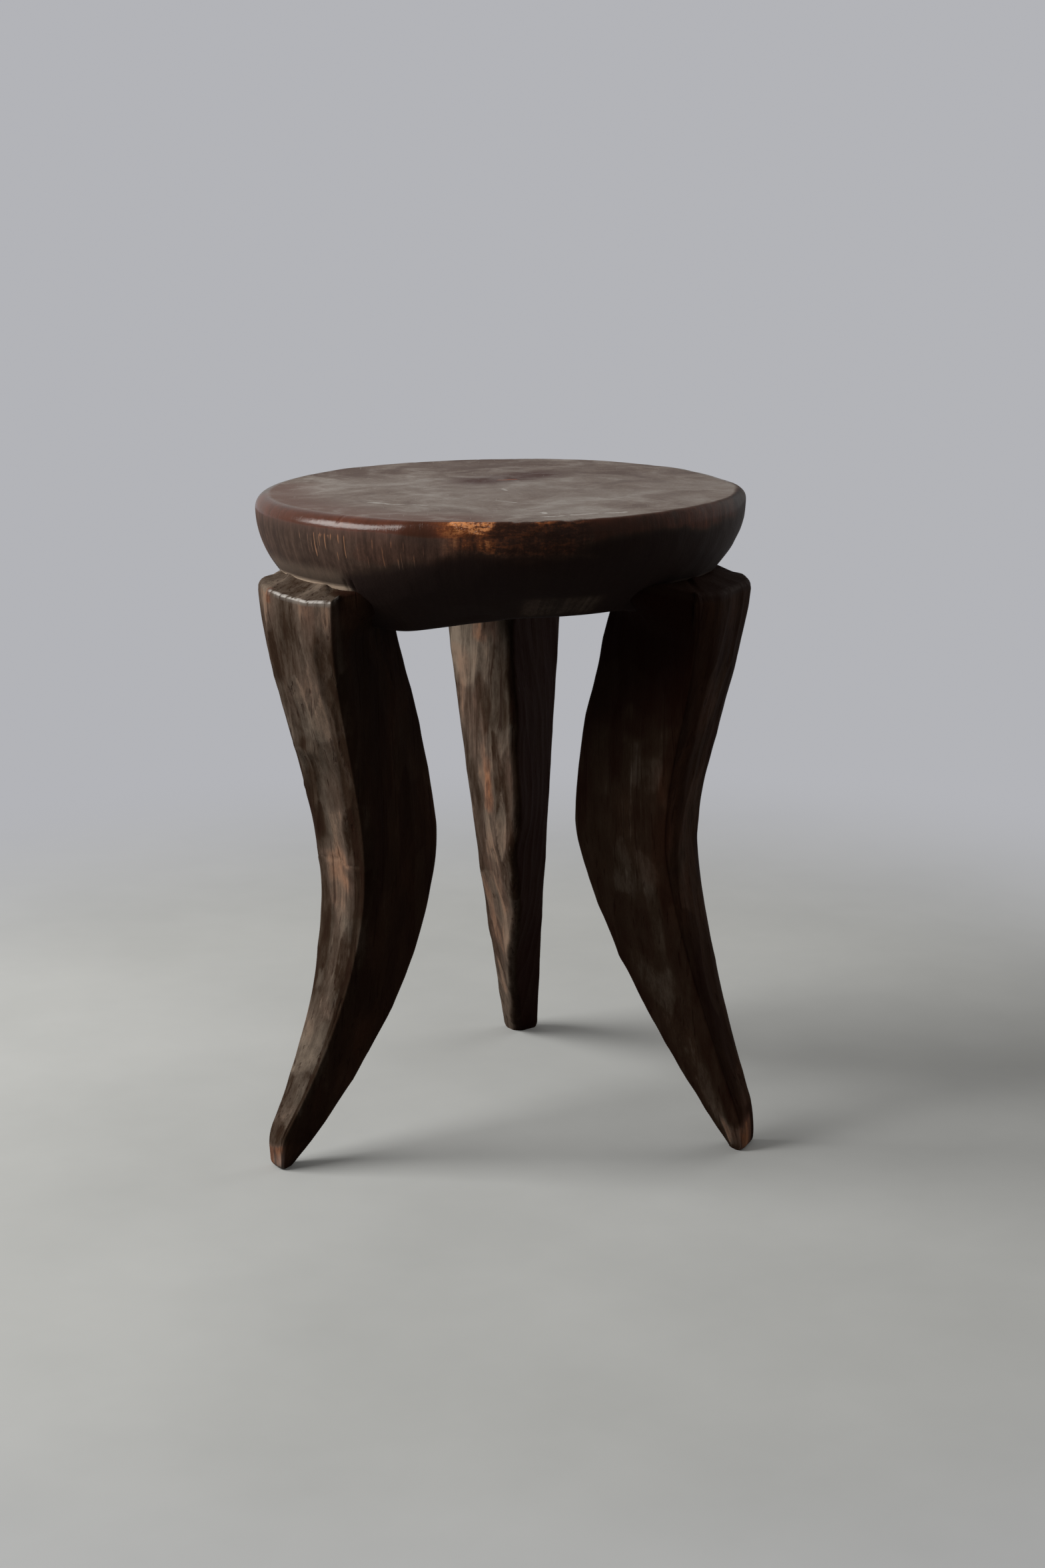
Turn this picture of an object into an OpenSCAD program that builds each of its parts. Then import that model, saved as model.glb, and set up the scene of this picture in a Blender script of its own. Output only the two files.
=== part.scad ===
// Low three-legged table, carved in dark wood: a thick round seat with a rolled
// edge, standing on three bowed legs whose shoulders rise beside the seat's side.
// Millimetres, +Z up, the floor at z = 0, the front towards -Y.

/* [Seat] */
// Diameter of the seat at its widest line
seat_d = 320; // [280:1:380]
// Height of the seat's top above the floor
seat_h = 436; // [380:1:520]
// Thickness of the seat, top to underside
seat_thick = 76; // [70:1:96]
// Rounding of the seat's top edge
edge_r = 14; // [4:1:18]
// Distance in from the seat's edge to its flat underside
under_in = 47; // [40:1:60]
// Height of the curve that turns the side into the underside
turn_h = 6; // [3:1:12]

/* [Leg heads] */
// Width of a leg across its shoulder
shoulder_w = 97; // [70:1:110]
// Drop from the seat's top to the outer edge of a shoulder
shoulder_drop = 58; // [50:1:62]
// How far the middle of a shoulder stands out past the seat's edge
shoulder_proud = 2.5; // [0:0.5:12]
// Fall of the shoulder's top face, in degrees
shoulder_fall = 11; // [4:1:18]

/* [Leg section] */
// Width of a leg half-way down
middle_w = 60; // [50:1:75]
// Depth of a leg at its knee, from the outer corners to the inner edge
knee_depth = 71; // [55:1:80]
// Height at which the inner edge comes nearest the seat's axis
belly_h = 214; // [190:1:240]
// Width of the inner edge
ridge_w = 11; // [6:1:16]
// Width of the outer side's middle flat, in hundredths of the side
flat_share = 56; // [40:2:70]
// Height of the outer side's crown, in hundredths of its width
crown = 8; // [4:1:12]

/* [Toes] */
// Length of a toe's bearing face, measured outwards
toe_l = 12; // [9:1:18]
// Height over which a toe stands upright
toe_h = 20; // [14:1:30]
// Rounding under a toe
toe_round = 4; // [2:1:5]

/* [Front left leg] */
// Direction of the leg's head, in degrees from +X
left_turn = 214; // [208:0.5:220]
// Sideways lean of its toe
left_lean = 3.5; // [0:0.5:10]
// Depth of the leg where it meets the seat
left_root = 66; // [60:1:76]
// Height of the waist on its outer side
left_waist_h = 185; // [170:1:220]
// Depth of the waist, in from the shoulder's corners
left_waist = 30; // [20:1:40]
// How sharply the leg sweeps out below the waist
left_bend = 1.9; // [1.3:0.05:2]
// How far the toe stands out past the seat's edge
left_toe = 20; // [5:1:30]
// Width of the toe at the floor
left_toe_w = 15; // [14:1:30]

/* [Front right leg] */
// Direction of the leg's head, in degrees from +X
right_turn = 336; // [330:0.5:342]
// Sideways lean of its toe
right_lean = 6; // [0:0.5:10]
// Depth of the leg where it meets the seat
right_root = 72; // [60:1:76]
// Height of the waist on its outer side
right_waist_h = 206; // [170:1:220]
// Depth of the waist, in from the shoulder's corners
right_waist = 28; // [20:1:40]
// How sharply the leg sweeps out below the waist
right_bend = 1.4; // [1.3:0.05:2]
// How far the toe stands out past the seat's edge
right_toe = 17; // [5:1:30]
// Width of the toe at the floor
right_toe_w = 26; // [14:1:30]

/* [Rear leg] */
// Direction of the leg's head, in degrees from +X
rear_turn = 90; // [84:0.5:96]
// Sideways lean of its toe
rear_lean = 13; // [0:0.5:18]
// Depth of the leg where it meets the seat
rear_root = 70; // [60:1:76]
// Height of the waist on its outer side
rear_waist_h = 196; // [170:1:220]
// Depth of the waist, in from the shoulder's corners
rear_waist = 29; // [20:1:40]
// How sharply the leg sweeps out below the waist
rear_bend = 1.65; // [1.3:0.05:2]
// How far the toe stands out past the seat's edge
rear_toe = 19; // [5:1:30]
// Width of the toe at the floor
rear_toe_w = 26; // [14:1:30]

/* [Joints] */
// Diameter of the tenon on each leg
tenon_d = 30; // [22:1:34]
// Length of the tenon above the seat's underside
tenon_l = 42; // [24:1:50]
// Distance in from the seat's edge to a tenon's centre
tenon_in = 46; // [42:1:50]
// Radial clearance of the tenon in its mortise
tenon_gap = 0.15; // [0.05:0.05:0.4]
// Clearance over the tenon's end
tenon_end_gap = 1; // [0.5:0.5:2]

/* [Hidden] */

seat_r = seat_d / 2;
under_r = seat_r - under_in;
under_h = seat_h - seat_thick;
rim_h = seat_h - edge_r;
shoulder_h = seat_h - shoulder_drop;
shoulder_out = seat_r + shoulder_proud;
corner_out = shoulder_out - shoulder_w * crown / 100;
tenon_root = 16;      // length of the tenon's cylinder inside the leg's head
ring_step = 7;        // height between two sections of a leg
lean_bend = 1.4;      // how late the lean sets in down the leg
root_bend = 1.65;     // how sharply the inner edge leaves the belly, upwards
edge_steps = 12;      // sides in the seat's rounded edge
side_steps = 14;      // sides in the seat's curved side
turn_steps = 4;       // sides in the curve that ends in the underside
sides = 6;            // sides of a leg's section
round_fn = 120;

// The origin is the middle of the whole table's footprint: the seat's edge on
// the left and in front, a toe on the right and behind.
right_reach = (seat_r + right_toe) * cos(right_turn) - (right_lean + right_toe_w / 2) * sin(right_turn);
rear_reach = (seat_r + rear_toe + rear_toe_w * crown / 100) * sin(rear_turn);
centre_shift = [(seat_r - max(seat_r, right_reach)) / 2, (seat_r - max(seat_r, rear_reach)) / 2, 0];

function mix(a, b, share) = a + (b - a) * share;
function ease(share) = share * share * (3 - 2 * share);
function bezier(a, b, c, d, t) =
    a * pow(1 - t, 3) + b * 3 * t * pow(1 - t, 2) + c * 3 * t * t * (1 - t) + d * pow(t, 3);
function flatten(lists) = [for (l = lists) for (item = l) item];

// Profile of the seat, as [distance from the axis, height].
side_low = [under_r + turn_h, under_h + turn_h];
side_drop = rim_h - side_low[1];
function top_edge() = [
    for (i = [0 : edge_steps])
        let (a = 90 - 90 * i / edge_steps)
        [seat_r - edge_r + edge_r * cos(a), rim_h + edge_r * sin(a)]
];
function seat_side() = [
    for (i = [1 : side_steps])
        bezier(
            [seat_r, rim_h],
            [seat_r, rim_h - 0.43 * side_drop],
            side_low + [0.38, 0.25] * side_drop,
            side_low,
            i / side_steps
        )
];
function turned_under() = [
    for (i = [1 : turn_steps])
        bezier(
            side_low,
            side_low - [turn_h, turn_h] / 2,
            [under_r, under_h],
            [under_r - turn_h, under_h],
            i / turn_steps
        )
];

module seat_block() {
    rotate_extrude($fn = round_fn)
        polygon(concat([[0, under_h], [0, seat_h]], top_edge(), seat_side(), turned_under()));
}

// Distances from the axis at height z up a leg, of the outer corners and of the
// inner edge. The values that start with $ belong to the leg being drawn.
function corner_r(z) =
    let (waist_r = corner_out - $waist, toe_r = seat_r + $toe)
    z > $waist_h ? mix(waist_r, corner_out, ease((z - $waist_h) / (shoulder_h - $waist_h)))
    : z > toe_h ? mix(waist_r, toe_r, pow(($waist_h - z) / ($waist_h - toe_h), $bend))
    : toe_r - toe_tuck(z);
function inner_r(z) =
    let (belly_r = corner_out - $waist - knee_depth)
    z > belly_h
        ? mix(belly_r, corner_out - $root, pow((z - belly_h) / (under_h - belly_h), root_bend))
        : mix(belly_r, seat_r + $toe - toe_l, pow((belly_h - z) / belly_h, $bend));
function toe_tuck(z) =
    z >= toe_round ? 0 : toe_round - sqrt(toe_round * toe_round - pow(toe_round - z, 2));

// Width at height z: a curve through the toe's, the middle's and the shoulder's.
function outer_w(z) =
    let (s = z / shoulder_h)
    $toe_w * (1 - s) * (1 - 2 * s) + middle_w * 4 * s * (1 - s) + shoulder_w * s * (2 * s - 1)
    - toe_tuck(z);

// One level section, in order round the leg, as [outwards, sideways] pairs.
function section(z) =
    let (
        w = outer_w(z),
        flat = w * flat_share / 100,
        edge = min(ridge_w, w / 2),
        corner = corner_r(z),
        face = corner + w * crown / 100,
        inner = inner_r(z)
    )
    [
        [inner, -edge / 2], [corner, -w / 2], [face, -flat / 2],
        [face, flat / 2], [corner, w / 2], [inner, edge / 2]
    ];
function ring(z) = [
    for (p = section(z)) [p[0], p[1] + $lean * pow(1 - z / shoulder_h, lean_bend), z]
];
// The top face falls outwards from the seat to the shoulder's outer edge.
function head_ring() = [
    for (p = section(shoulder_h))
        [p[0], p[1], shoulder_h + (shoulder_out - p[0]) * tan(shoulder_fall)]
];
function heights() = concat(
    [0, 0.3 * toe_round, 0.65 * toe_round, toe_round],
    [for (z = [toe_round + ring_step : ring_step : shoulder_h - ring_step / 2]) z]
);

module leg_body() {
    rings = concat([for (z = heights()) ring(z)], [head_ring()]);
    last = len(rings) - 1;
    walls = [
        for (i = [0 : last - 1]) for (k = [0 : sides - 1])
            let (a = i * sides + k, b = i * sides + (k + 1) % sides)
            for (face = [[a, a + sides, b], [b, a + sides, b + sides]]) face
    ];
    foot = [for (k = [0 : sides - 1]) k];
    head = [for (k = [sides - 1 : -1 : 0]) last * sides + k];
    polyhedron(flatten(rings), concat([foot, head], walls), convexity = 6);
}

module tenon(extra_r, extra_l) {
    translate([seat_r - tenon_in, 0, under_h - tenon_root])
        cylinder(r = tenon_d / 2 + extra_r, h = tenon_root + tenon_l + extra_l, $fn = 64);
}

module leg($turn, $lean, $root, $waist_h, $waist, $bend, $toe, $toe_w) {
    color("#3a2a20")
    translate(centre_shift) {
        difference() {
            rotate([0, 0, $turn]) leg_body();
            seat_block();
        }
        rotate([0, 0, $turn]) tenon(0, 0);
    }
}

module seat() {
    color("#4b3428")
    translate(centre_shift)
        difference() {
            seat_block();
            for (turn = [left_turn, right_turn, rear_turn])
                rotate([0, 0, turn]) tenon(tenon_gap, tenon_end_gap);
        }
}

module leg_front_left() {
    leg(left_turn, left_lean, left_root, left_waist_h, left_waist, left_bend, left_toe, left_toe_w);
}

module leg_front_right() {
    leg(
        right_turn, right_lean, right_root,
        right_waist_h, right_waist, right_bend, right_toe, right_toe_w
    );
}

module leg_rear() {
    leg(rear_turn, -rear_lean, rear_root, rear_waist_h, rear_waist, rear_bend, rear_toe, rear_toe_w);
}

seat();
leg_front_left();
leg_front_right();
leg_rear();
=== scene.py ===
"""A carved three-legged side table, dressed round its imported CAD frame.

Metres and the row's own frame in Blender; the shapes are worked out in millimetres
from the seat's axis and shifted into the frame at the end.
"""

import math

import bpy
import numpy as np
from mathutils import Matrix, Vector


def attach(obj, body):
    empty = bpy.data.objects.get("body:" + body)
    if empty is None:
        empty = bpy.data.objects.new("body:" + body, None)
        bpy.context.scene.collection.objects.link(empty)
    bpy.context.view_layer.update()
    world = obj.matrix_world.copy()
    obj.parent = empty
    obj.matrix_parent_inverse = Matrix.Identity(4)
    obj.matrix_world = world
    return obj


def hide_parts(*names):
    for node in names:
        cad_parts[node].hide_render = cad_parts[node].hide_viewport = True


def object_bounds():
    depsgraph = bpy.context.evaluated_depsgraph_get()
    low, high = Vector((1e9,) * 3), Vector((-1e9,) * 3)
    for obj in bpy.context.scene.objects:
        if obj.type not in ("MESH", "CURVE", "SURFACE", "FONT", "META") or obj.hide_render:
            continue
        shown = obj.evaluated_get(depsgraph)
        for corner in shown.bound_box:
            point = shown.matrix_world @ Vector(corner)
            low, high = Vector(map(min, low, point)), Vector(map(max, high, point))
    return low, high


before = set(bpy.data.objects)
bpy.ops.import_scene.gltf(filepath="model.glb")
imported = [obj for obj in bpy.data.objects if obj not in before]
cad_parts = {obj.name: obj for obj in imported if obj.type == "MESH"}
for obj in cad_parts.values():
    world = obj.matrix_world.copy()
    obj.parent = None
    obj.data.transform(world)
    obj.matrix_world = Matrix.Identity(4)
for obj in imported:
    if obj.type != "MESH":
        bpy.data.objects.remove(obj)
cad_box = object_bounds()

MM = 0.001
CENTRE = np.array([-4.713, -10.540, 0.0])   # the seat's axis in the row's frame
BOX_MARGIN = 0.02   # every point stays this far inside the CAD's box, in millimetres

# Seat and leg sizes, as in the CAD part.
SEAT_R = 160.0
UNDER_R = 113.0
UNDER_H = 360.0
TURN_H = 6.0
SHOULDER_H = 378.0
SHOULDER_OUT = 162.5
CROWN = 0.08
FLAT = 0.56
TOE_H = 20.0
TOE_ROUND = 4.0
LEAN_BEND = 1.4


# Curves and noise
HASH = (73856093, 19349663, 83492791, 2654435761)   # large odd numbers for x, y, z and the seed
STIR = (2246822519, 3266489917)
WORD = 0xFFFFFFFF
CHUNK = 4000   # points worked on at a time


def mix(a, b, share):
    return a + (b - a) * share


def ease(share):
    share = np.clip(share, 0.0, 1.0)
    return share * share * (3.0 - 2.0 * share)


def step(x, low, high):
    """0 below low, 1 above high, smooth between; low may be the larger."""
    return ease((x - low) / (high - low))


def window(x, low, high, soft):
    """1 between low and high, fading to 0 over soft outside them."""
    return step(x, low - soft, low) * step(x, high + soft, high)


def turned(angle, middle):
    """Difference of two angles in degrees, from -180 to 180."""
    return (angle - middle + 180.0) % 360.0 - 180.0


def arc_window(angle, low, high, soft):
    """A window between two angles in degrees."""
    middle = (low + high) / 2.0
    half = (high - low) / 2.0
    return step(np.abs(turned(angle, middle)), half + soft, half)


def path(z, stops):
    """A smooth line through (height, value) stops."""
    value = np.full(np.shape(z), float(stops[0][1]))
    for (low, a), (high, b) in zip(stops[:-1], stops[1:]):
        value = np.where(z >= low, mix(a, b, ease((z - low) / (high - low))), value)
    return value


def through(z, low, middle, high):
    """A curve with one value at the floor, one half-way up a leg and one at its shoulder."""
    s = z / SHOULDER_H
    return low * (1 - s) * (1 - 2 * s) + middle * 4 * s * (1 - s) + high * s * (2 * s - 1)


def bezier(a, b, c, d, t):
    return a * (1 - t) ** 3 + b * 3 * t * (1 - t) ** 2 + c * 3 * t * t * (1 - t) + d * t ** 3


def soft_least(a, b, blend):
    """The lesser of two values, rounded where they cross."""
    share = np.clip(0.5 + (b - a) / (2.0 * blend), 0.0, 1.0)
    return mix(b, a, share) - blend * share * (1.0 - share)


def noise(points, size, seed):
    """Smooth lattice noise from -1 to 1 with features about size millimetres across."""
    q = points / np.asarray(size, float)
    cell = np.floor(q).astype(np.int64)
    part = ease(q - cell)
    total = np.zeros(len(points))
    for corner in range(8):
        pick = np.array([corner & 1, corner >> 1 & 1, corner >> 2 & 1])
        x, y, z = (cell + pick).T
        h = x * HASH[0] ^ y * HASH[1] ^ z * HASH[2] ^ (seed * HASH[3])
        h = (h ^ (h >> 15)) & WORD
        h = (h * STIR[0]) & WORD
        h = (h ^ (h >> 13)) & WORD
        h = (h * STIR[1]) & WORD
        h = h ^ (h >> 16)
        share = np.prod(np.where(pick == 1, part, 1.0 - part), axis=1)
        total += (h / 2 ** 31 - 1.0) * share
    return total


def layered(points, size, seed, layers=3, fall=0.5):
    """Noise in layers, each half the size of the one before and weaker by fall."""
    size = np.asarray(size, float)
    total = np.zeros(len(points))
    for i in range(layers):
        total += noise(points, size / 2 ** i, seed + 17 * i) * fall ** i
    return total


def tool_cuts(points, seeds, width, length, rng, soft=0.035, lift=0.16, tilt=0.25):
    """Shallow scooped cuts: at each point the lowest of the bowls round the seeds.

    Returns the height, low in a cut and high on the ridges between cuts, and a
    tone from 0 to 1 that each cut has to itself.
    """
    lifts = rng.uniform(-lift, lift, len(seeds))
    tilts = rng.uniform(-tilt, tilt, len(seeds))
    tones = rng.uniform(0.0, 1.0, len(seeds))
    height = np.zeros(len(points))
    tone = np.zeros(len(points))
    for start in range(0, len(points), CHUNK):
        part = slice(start, start + CHUNK)
        gap = points[part, None, :] - seeds[None]
        across = (gap[..., 0] ** 2 + gap[..., 1] ** 2) / width ** 2
        along = gap[..., 2] / length
        bowl = across + along ** 2 + lifts + tilts * along
        low = bowl.min(axis=1, keepdims=True)
        share = np.exp(-(bowl - low) / soft)
        whole = share.sum(axis=1)
        height[part] = low[:, 0] - soft * np.log(whole)
        tone[part] = (share * tones).sum(axis=1) / whole
    return height, tone


# Meshes
def grid_normals(grid):
    """Unit normals of a grid of points (rows, columns, 3) whose columns close on themselves."""
    along = np.gradient(grid, axis=0)
    around = np.roll(grid, -1, axis=1) - np.roll(grid, 1, axis=1)
    normal = np.cross(around, along)
    return normal / np.maximum(np.linalg.norm(normal, axis=2, keepdims=True), 1e-9)


def closed_mesh(name, grid, first, last, values):
    """A closed skin over a grid of rings, with one point closing each end.

    values gives each named attribute four numbers per grid point.
    """
    rows, columns = grid.shape[:2]
    points = np.concatenate([grid.reshape(-1, 3), [first], [last]])
    low = np.array(cad_box[0]) / MM - CENTRE + BOX_MARGIN
    high = np.array(cad_box[1]) / MM - CENTRE - BOX_MARGIN
    low[2] = 0.0
    points = np.clip(points, low, high)
    index = np.arange(rows * columns).reshape(rows, columns)
    after = np.roll(index, -1, axis=1)
    quads = np.stack([index[:-1], after[:-1], after[1:], index[1:]], axis=2).reshape(-1, 4)
    start = np.stack([after[0], index[0], np.full(columns, rows * columns)], axis=1)
    end = np.stack([index[-1], after[-1], np.full(columns, rows * columns + 1)], axis=1)
    mesh = bpy.data.meshes.new(name)
    mesh.from_pydata((points + CENTRE) * MM, [], quads.tolist() + start.tolist() + end.tolist())
    mesh.polygons.foreach_set("use_smooth", np.ones(len(mesh.polygons), bool))
    for attribute, channels in values.items():
        ring = np.stack(channels, axis=1)
        full = np.concatenate([ring, ring[:1], ring[-1:]])
        layer = mesh.color_attributes.new(attribute, "FLOAT_COLOR", "POINT")
        layer.data.foreach_set("color", np.clip(full, 0.0, 1.0).astype(np.float32).ravel())
    mesh.validate()
    mesh.update()
    piece = bpy.data.objects.new(name, mesh)
    bpy.context.scene.collection.objects.link(piece)
    return piece


# Legs
TOE_BLEND = 5.0          # how gently a leg's sweep ends in its upright toe
RIDGE_SHARE = 0.45       # the most of a section's width that its inner ridge takes
RIDGE_WAVE_L = 34.0      # length of the waves in the inner ridge
FULL_BEVEL_W = 45.0      # a section this wide or wider has bevels of full size
LEAST_BEVEL = 0.8
CROWN_BEVEL = 0.25       # how much of a bevel lies on the outer face
FLARE = 24.0             # how far a head's sides swell
FLARE_FROM, FLARE_TO = 343.0, 374.0
FLARE_BEND = 1.3
FLARE_LEAN, FLARE_SPREAD = 1.36, 0.9   # where across a side it is fullest, and how broad it is
FLARE_IN, FLARE_OUT = 0.53, 0.85       # shares of it inwards and sideways
SLANT_FROM = 318.0       # height from which the sections tilt into the slope of the head
HEAD_MIDDLE = np.array([122.0, 0.0])
END_REACH = 18.0         # length of a head's ends, which have their own rounding
HEAD_FADE = 45.0         # height over which the skin makes room for the head's rounding
RING_STEP = 1.4
EDGE_POINTS = (40, 6, 16, 32, 16, 6, 40, 5)                # points along each edge of a section
CORNER_TRIMS = (2.6, 1.2, 0.9, 3.0, 3.5, 1.0, 1.6, 2.6)    # where each corner's rounding starts
MOST_TRIM = 0.42         # of the shorter edge beside it
ARC_POINTS = 4
TOE_RINGS = 6
HEAD_ROUND_RINGS = 5
HEAD_TOP_RINGS = 16
HEAD_RINGS = HEAD_ROUND_RINGS + HEAD_TOP_RINGS
FOOT_RINGS = 3
RIM_WEAR_AND_HIGHLIGHT = (0.2, 1.0, 1.0, 0.5, 0.0)   # how strongly each ring of the head's rounded edge takes the pale rim line, worn edge and painted highlight

# Tool marks: how far apart they lie across and along, then their width and length.
CUTS_APART, CUT_SIZE = (14.0, 40.0), (9.0, 34.0)
FINE_APART, FINE_SIZE = (7.0, 19.0), (5.0, 15.0)
CUTS_FROM, CUTS_TO = 4.0, 395.0
SEAM_H = 200.5   # height of a fine crack across the front left leg


def toe_tuck(z):
    """How far a toe's sides draw in near the floor."""
    rest = np.clip(TOE_ROUND - z, 0.0, TOE_ROUND)
    return TOE_ROUND - np.sqrt(TOE_ROUND ** 2 - rest ** 2)


class Leg:
    """One leg's own sizes in millimetres and degrees, and how its surface is worn, with the strength of
    the painted highlight on its rim.
    """

    def __init__(self, name, **sizes):
        self.name = name
        self.__dict__.update(sizes)
        self.corner_out = SHOULDER_OUT + self.stand - self.shoulder_w * CROWN

    def corner_r(self, z):
        """Distance of the outer corners from the seat's axis."""
        waist_r = self.corner_out - self.waist
        toe_r = SEAT_R + self.toe
        up = mix(waist_r, self.corner_out, ease((z - self.waist_h) / (SHOULDER_H - self.waist_h)))
        down = np.clip((self.waist_h - z) / (self.waist_h - TOE_H), 0.0, None) ** self.bend
        sweep = soft_least(mix(waist_r, toe_r, down), toe_r, TOE_BLEND)
        return np.where(z > self.waist_h, up, sweep - toe_tuck(z))

    def inner_r(self, z):
        """Distance of the inner ridge from the seat's axis."""
        up = np.clip((z - self.belly_h) / (UNDER_H - self.belly_h), 0.0, None) ** self.root_bend
        down = np.clip((self.belly_h - z) / self.belly_h, 0.0, 1.0) ** self.belly_bend
        toe_in = SEAT_R + self.toe - self.toe_l
        return np.where(
            z > self.belly_h, mix(self.belly_r, self.root_r, up), mix(self.belly_r, toe_in, down)
        )

    def outer_w(self, z):
        return through(z, self.toe_w, self.middle_w, self.shoulder_w) - toe_tuck(z)


LEGS = [
    Leg(
        "leg_front_left", turn=214.0, lean=3.6, shoulder_w=98.0, middle_w=61.5, toe_w=14.5,
        waist_h=185.0, waist=30.3, bend=1.84, toe=19.4, toe_l=11.0,
        root_r=89.2, belly_r=54.6, belly_h=213.0, root_bend=1.45, belly_bend=1.95,
        ridge_w=8.0, head_round=2.2, end_round=(7.0, 2.6), head_h=375.8, head_fall=0.27,
        head_tilt=3.0, stand=0.0, pale_rim=0.9, edge_tone=0.35, ridge_wave=0.8, seed=11,
        seamed=1.0,
        bevel_low=(3.0, 3.0, 5.0), bevel_high=(5.0, 7.5, 8.0),
        cut_outer=1.4, cut_minus=0.25, cut_plus=0.35, cut_ridge=0.5,
        ridge_path=((0.0, 0.0), (380.0, 0.0)),
    ),
    Leg(
        "leg_front_right", turn=336.0, lean=7.0, shoulder_w=99.0, middle_w=60.5, toe_w=27.0,
        waist_h=207.0, waist=28.3, bend=1.38, toe=16.4, toe_l=11.0,
        root_r=82.7, belly_r=54.8, belly_h=215.5, root_bend=1.85, belly_bend=1.46,
        ridge_w=9.0, head_round=4.0, end_round=(4.0, 9.0), head_h=377.5, head_fall=0.20,
        head_tilt=0.0, stand=1.4, pale_rim=0.04, edge_tone=-0.6, ridge_wave=0.8, seed=23,
        seamed=0.0,
        bevel_low=(12.0, 10.0, 2.0), bevel_high=(3.0, 3.0, 4.0),
        cut_outer=0.7, cut_minus=0.60, cut_plus=0.6, cut_ridge=0.5,
        ridge_path=((0.0, 0.0), (380.0, 0.0)),
    ),
    Leg(
        "leg_rear", turn=90.0, lean=-13.2, shoulder_w=94.0, middle_w=58.0, toe_w=26.0,
        waist_h=196.0, waist=29.0, bend=1.65, toe=18.4, toe_l=12.0,
        root_r=84.7, belly_r=54.8, belly_h=214.0, root_bend=1.65, belly_bend=1.65,
        ridge_w=6.0, head_round=3.0, end_round=(4.0, 4.0), head_h=378.0, head_fall=0.194,
        head_tilt=0.0, stand=0.0, pale_rim=0.15, edge_tone=0.2, ridge_wave=1.5, seed=37,
        seamed=0.0,
        bevel_low=(3.0, 3.0, 3.0), bevel_high=(3.0, 3.0, 3.0),
        cut_outer=0.9, cut_minus=0.6, cut_plus=1.4, cut_ridge=1.0,
        ridge_path=((0.0, 2.0), (55.0, 5.0), (125.0, -1.0), (205.0, -5.5), (380.0, -3.5)),
    ),
]

# Rougher places: face, lowest and highest z, range across the face, how much deeper the cuts are.
ROUGH_SPOTS = {
    "leg_front_left": (
        ("outer", 238, 276, -0.50, 0.05, 1.2),
        ("outer", 290, 320, -0.45, 0.30, 0.6),
    ),
    "leg_rear": (
        ("plus", 175, 265, 0.00, 0.45, 0.8),
    ),
}

# Spots on a leg: face, lowest and highest z, range across the face, and how much lighter,
# warmer and more scratched the wood is there; two on the front right leg are painted shadow.
LEG_SPOTS = {
    "leg_front_left": (
        ("outer", 285, 378, -0.90, 0.90, 0.24, 0.0, 0.0),
        ("outer", 318, 350, -0.95, -0.45, -0.22, 0.0, 0.0),
        ("outer", 262, 322, -0.85, -0.60, -0.10, -0.1, 0.0),
        ("outer", 224, 264, -0.68, -0.22, -0.18, -0.1, 0.0),
        ("outer", 204, 236, 0.15, 0.60, 0.24, 0.12, 0.4),
        ("outer", 192, 201, -0.60, 0.85, 0.20, 0.20, 0.2),
        ("outer", 150, 196, -0.95, -0.45, -0.14, -0.1, 0.0),
        ("outer", 100, 190, -0.10, 0.60, 0.10, 0.15, 0.5),
        ("outer", 76, 108, -0.60, 0.80, -0.10, -0.1, 0.0),
        ("outer", 46, 70, -0.90, 0.70, 0.15, -0.1, 0.0),
        ("outer", 16, 34, -0.90, 0.60, 0.20, 0.1, 0.0),
        ("outer", 110, 160, -0.60, 0.60, -0.09, -0.2, 0.0),
        ("outer", 0, 16, -1.00, 1.00, 0.72, 0.90, 0.0),
        ("plus", 0, 14, 0.30, 1.00, 0.12, 0.30, 0.0),
        ("plus", 0, 400, -1.00, 1.00, 0.0, 0.40, 0.0),
    ),
    "leg_front_right": (
        # These two darken the top of the front face, where it lies in the seat's shadow: painted shadow.
        ("minus", 292, 380, 0.00, 1.00, -0.16, -0.1, 0.0),
        ("minus", 330, 385, 0.00, 1.00, -0.16, -0.1, 0.0),
        ("outer", 0, 400, -1.00, 1.00, 0.0, 0.50, 0.0),
        ("minus", 0, 400, -1.00, 2.00, 0.04, -0.24, 0.0),
        ("minus", 180, 285, 0.45, 0.92, 0.07, 0.06, 0.3),
        ("minus", 243, 280, 0.56, 0.66, 0.07, 0.10, 0.8),
        ("minus", 246, 264, 0.70, 0.88, 0.11, 0.10, 0.0),
        ("minus", 22, 80, 0.20, 0.80, 0.06, 0.35, 0.2),
        ("minus", 92, 175, 0.20, 0.90, 0.04, -0.1, 0.0),
        ("minus", 20, 120, 0.30, 0.95, 0.12, 0.02, 0.0),
        ("outer", 0, 18, -1.00, 0.20, 0.85, 0.85, 0.0),
        ("minus", 0, 14, 0.70, 1.00, 0.55, 0.70, 0.0),
    ),
    "leg_rear": (
        ("plus", 285, 380, 0.35, 1.00, 0.36, -0.10, 0.0),
        ("plus", 318, 360, 0.20, 0.52, 0.10, 0.55, 0.0),
        ("plus", 198, 268, 0.50, 0.60, 0.10, 0.50, 0.3),
        ("plus", 210, 248, 0.35, 0.75, 0.14, 0.05, 0.1),
        ("plus", 162, 214, 0.42, 0.62, 0.22, 0.20, 0.9),
        ("plus", 150, 182, 0.02, 0.30, 0.04, 0.15, 0.9),
        ("plus", 120, 300, 0.75, 1.00, -0.04, 0.20, 0.2),
        ("plus", 100, 150, 0.20, 0.90, -0.06, 0.10, 0.1),
        ("plus", 50, 82, 0.20, 0.90, 0.08, 0.15, 0.1),
        ("plus", 0, 40, 0.00, 1.00, -0.16, 0.00, 0.0),
    ),
}
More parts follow.
